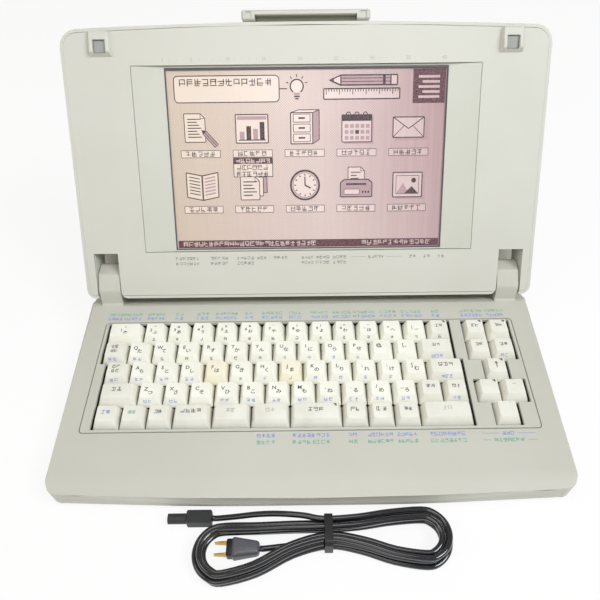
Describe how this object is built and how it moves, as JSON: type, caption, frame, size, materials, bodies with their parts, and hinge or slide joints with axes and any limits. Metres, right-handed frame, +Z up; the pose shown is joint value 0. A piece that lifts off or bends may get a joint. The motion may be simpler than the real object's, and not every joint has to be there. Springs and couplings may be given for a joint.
{
  "type": "portable word processor",
  "caption": "Portable word processor with a keyboard base, a hinged display lid, a printer bay behind the lid and a detached mains cord tied as a hank.",
  "frame": {"origin": "on the surface that the feet stand on, under the middle of the base's plan", "axes": "+X to the user's right, +Y from the keyboard's nose to the rear housing, +Z up; rest pose is the pictured one, lid open"},
  "size_m": [0.365, 0.3864, 0.2218],
  "materials": {
    "case_plastic": "fine texture, satin",
    "lid_plastic": "fine texture, satin",
    "key_plastic": "fine texture",
    "function_key_plastic": "fine texture",
    "dark_plastic": "satin",
    "grey_plastic": "satin",
    "rubber": "matte",
    "steel": "rolled",
    "circuit_board": "solder mask",
    "display_glass": "polished",
    "backlight_white": "clear",
    "cord_rubber": "glossy sheath"
  },
  "bodies": {
    "base": {"base_top_shell": "case_plastic", "base_bottom_shell": "case_plastic", "foot_front_left": "rubber", "foot_front_right": "rubber", "foot_rear_left": "rubber", "foot_rear_right": "rubber", "keyboard_frame": "key_plastic", "main_board": "circuit_board", "power_supply": "circuit_board", "printer_chassis": "steel", "carriage_rail": "steel", "feed_motor": "steel", "floppy_drive": "dark_plastic", "power_inlet": "dark_plastic", "mains_cord": "cord_rubber", "cord_tie": "dark_plastic", "cord_plug": "dark_plastic", "cord_connector": "dark_plastic"},
    "lid": {"lid_back_cover": "lid_plastic", "lid_front_frame": "lid_plastic", "display_bezel": "lid_plastic", "display_panel": "display_glass", "backlight": "backlight_white", "rest_pad_left": "grey_plastic", "rest_pad_right": "grey_plastic", "hinge_pin_left": "steel", "hinge_pin_right": "steel"},
    "handle": {"carrying_handle": "lid_plastic"},
    "cover": {"printer_cover": "case_plastic"},
    "platen": {"platen_roller": "rubber", "platen_knob": "dark_plastic", "platen_gear": "grey_plastic"},
    "pinion": {"feed_pinion": "grey_plastic"},
    "carriage": {"print_carriage": "dark_plastic", "ribbon_cassette": "grey_plastic"},
    "eject_button": {"floppy_eject_button": "case_plastic"},
    "rocker": {"power_switch": "dark_plastic"},
    "dial": {"contrast_dial": "grey_plastic"},
    "key_function_1": {"function_key_1": "function_key_plastic"},
    "key_function_2": {"function_key_2": "function_key_plastic"},
    "key_function_3": {"function_key_3": "function_key_plastic"},
    "key_function_4": {"function_key_4": "function_key_plastic"},
    "key_function_5": {"function_key_5": "function_key_plastic"},
    "key_function_6": {"function_key_6": "function_key_plastic"},
    "key_space": {"space_key": "function_key_plastic"},
    "key_function_7": {"function_key_7": "function_key_plastic"},
    "key_function_8": {"function_key_8": "function_key_plastic"},
    "key_function_9": {"function_key_9": "function_key_plastic"},
    "key_function_10": {"function_key_10": "function_key_plastic"},
    "key_backspace": {"backspace_key": "function_key_plastic"},
    "key_return": {"return_key": "function_key_plastic"},
    "key_shift": {"shift_key": "function_key_plastic"},
    "key_edit_1": {"edit_key_1": "function_key_plastic"},
    "key_edit_2": {"edit_key_2": "function_key_plastic"},
    "key_edit_3": {"edit_key_3": "function_key_plastic"},
    "key_edit_4": {"edit_key_4": "function_key_plastic"},
    "key_arrow_up": {"arrow_key_up": "function_key_plastic"},
    "key_arrow_left": {"arrow_key_left": "function_key_plastic"},
    "key_arrow_right": {"arrow_key_right": "function_key_plastic"},
    "key_arrow_down": {"arrow_key_down": "function_key_plastic"}
  },
  "joints": [
    {"name": "lid_hinge", "type": "hinge", "parent": "base", "child": "lid", "pos_m": [0, 0.0184, 0.05154], "axis": [1, 0, 0], "range_deg": [-4, 125]},
    {"name": "handle_slide", "type": "slide", "parent": "lid", "child": "handle", "axis": [0, 0.518, 0.8554], "range_m": [0, 0.03]},
    {"name": "cover_hinge", "type": "hinge", "parent": "base", "child": "cover", "pos_m": [0, 0.12847, 0.06866], "axis": [-1, 0, 0], "range_deg": [0, 75]},
    {"name": "platen_spin", "type": "hinge", "parent": "base", "child": "platen", "pos_m": [0, 0.08583, 0.04773], "axis": [1, 0, 0], "continuous": true},
    {"name": "pinion_spin", "type": "hinge", "parent": "base", "child": "pinion", "pos_m": [-0.1386, 0.1, 0.04872], "axis": [1, 0, 0], "continuous": true},
    {"name": "carriage_slide", "type": "slide", "parent": "base", "child": "carriage", "axis": [1, 0, 0], "range_m": [0, 0.178]},
    {"name": "eject_travel", "type": "slide", "parent": "base", "child": "eject_button", "axis": [-1, 0, 0], "range_m": [0, 0.003], "stiffness_N_per_m": 300, "springref_m": -0.001},
    {"name": "rocker_tilt", "type": "hinge", "parent": "base", "child": "rocker", "pos_m": [-0.1774, 0.08098, 0.04539], "axis": [0, -0.0698, 0.9976], "range_deg": [0, 10]},
    {"name": "dial_spin", "type": "hinge", "parent": "base", "child": "dial", "pos_m": [-0.165, 0.09091, 0.06112], "axis": [1, 0, 0], "range_deg": [-120, 120]},
    {"name": "press_function_1", "type": "slide", "parent": "base", "child": "key_function_1", "axis": [0, 0.0698, -0.9976], "range_m": [0, 0.003], "stiffness_N_per_m": 200, "springref_m": -0.001},
    {"name": "press_function_2", "type": "slide", "parent": "base", "child": "key_function_2", "axis": [0, 0.0698, -0.9976], "range_m": [0, 0.003], "stiffness_N_per_m": 200, "springref_m": -0.001},
    {"name": "press_function_3", "type": "slide", "parent": "base", "child": "key_function_3", "axis": [0, 0.0698, -0.9976], "range_m": [0, 0.003], "stiffness_N_per_m": 200, "springref_m": -0.001},
    {"name": "press_function_4", "type": "slide", "parent": "base", "child": "key_function_4", "axis": [0, 0.0698, -0.9976], "range_m": [0, 0.003], "stiffness_N_per_m": 200, "springref_m": -0.001},
    {"name": "press_function_5", "type": "slide", "parent": "base", "child": "key_function_5", "axis": [0, 0.0698, -0.9976], "range_m": [0, 0.003], "stiffness_N_per_m": 200, "springref_m": -0.001},
    {"name": "press_function_6", "type": "slide", "parent": "base", "child": "key_function_6", "axis": [0, 0.0698, -0.9976], "range_m": [0, 0.003], "stiffness_N_per_m": 200, "springref_m": -0.001},
    {"name": "press_space", "type": "slide", "parent": "base", "child": "key_space", "axis": [0, 0.0698, -0.9976], "range_m": [0, 0.003], "stiffness_N_per_m": 250, "springref_m": -0.001},
    {"name": "press_function_7", "type": "slide", "parent": "base", "child": "key_function_7", "axis": [0, 0.0698, -0.9976], "range_m": [0, 0.003], "stiffness_N_per_m": 200, "springref_m": -0.001},
    {"name": "press_function_8", "type": "slide", "parent": "base", "child": "key_function_8", "axis": [0, 0.0698, -0.9976], "range_m": [0, 0.003], "stiffness_N_per_m": 200, "springref_m": -0.001},
    {"name": "press_function_9", "type": "slide", "parent": "base", "child": "key_function_9", "axis": [0, 0.0698, -0.9976], "range_m": [0, 0.003], "stiffness_N_per_m": 200, "springref_m": -0.001},
    {"name": "press_function_10", "type": "slide", "parent": "base", "child": "key_function_10", "axis": [0, 0.0698, -0.9976], "range_m": [0, 0.003], "stiffness_N_per_m": 250, "springref_m": -0.001},
    {"name": "press_backspace", "type": "slide", "parent": "base", "child": "key_backspace", "axis": [0, 0.0698, -0.9976], "range_m": [0, 0.003], "stiffness_N_per_m": 200, "springref_m": -0.001},
    {"name": "press_return", "type": "slide", "parent": "base", "child": "key_return", "axis": [0, 0.0698, -0.9976], "range_m": [0, 0.003], "stiffness_N_per_m": 200, "springref_m": -0.001},
    {"name": "press_shift", "type": "slide", "parent": "base", "child": "key_shift", "axis": [0, 0.0698, -0.9976], "range_m": [0, 0.003], "stiffness_N_per_m": 200, "springref_m": -0.001},
    {"name": "press_edit_1", "type": "slide", "parent": "base", "child": "key_edit_1", "axis": [0, 0.0698, -0.9976], "range_m": [0, 0.003], "stiffness_N_per_m": 200, "springref_m": -0.001},
    {"name": "press_edit_2", "type": "slide", "parent": "base", "child": "key_edit_2", "axis": [0, 0.0698, -0.9976], "range_m": [0, 0.003], "stiffness_N_per_m": 200, "springref_m": -0.001},
    {"name": "press_edit_3", "type": "slide", "parent": "base", "child": "key_edit_3", "axis": [0, 0.0698, -0.9976], "range_m": [0, 0.003], "stiffness_N_per_m": 200, "springref_m": -0.001},
    {"name": "press_edit_4", "type": "slide", "parent": "base", "child": "key_edit_4", "axis": [0, 0.0698, -0.9976], "range_m": [0, 0.003], "stiffness_N_per_m": 200, "springref_m": -0.001},
    {"name": "press_arrow_up", "type": "slide", "parent": "base", "child": "key_arrow_up", "axis": [0, 0.0698, -0.9976], "range_m": [0, 0.003], "stiffness_N_per_m": 200, "springref_m": -0.001},
    {"name": "press_arrow_left", "type": "slide", "parent": "base", "child": "key_arrow_left", "axis": [0, 0.0698, -0.9976], "range_m": [0, 0.003], "stiffness_N_per_m": 200, "springref_m": -0.001},
    {"name": "press_arrow_right", "type": "slide", "parent": "base", "child": "key_arrow_right", "axis": [0, 0.0698, -0.9976], "range_m": [0, 0.003], "stiffness_N_per_m": 200, "springref_m": -0.001},
    {"name": "press_arrow_down", "type": "slide", "parent": "base", "child": "key_arrow_down", "axis": [0, 0.0698, -0.9976], "range_m": [0, 0.003], "stiffness_N_per_m": 200, "springref_m": -0.001}
  ],
  "couplings": [
    {"joint": "pinion_spin", "follows": "platen_spin", "ratio": -2.3333}
  ]
}
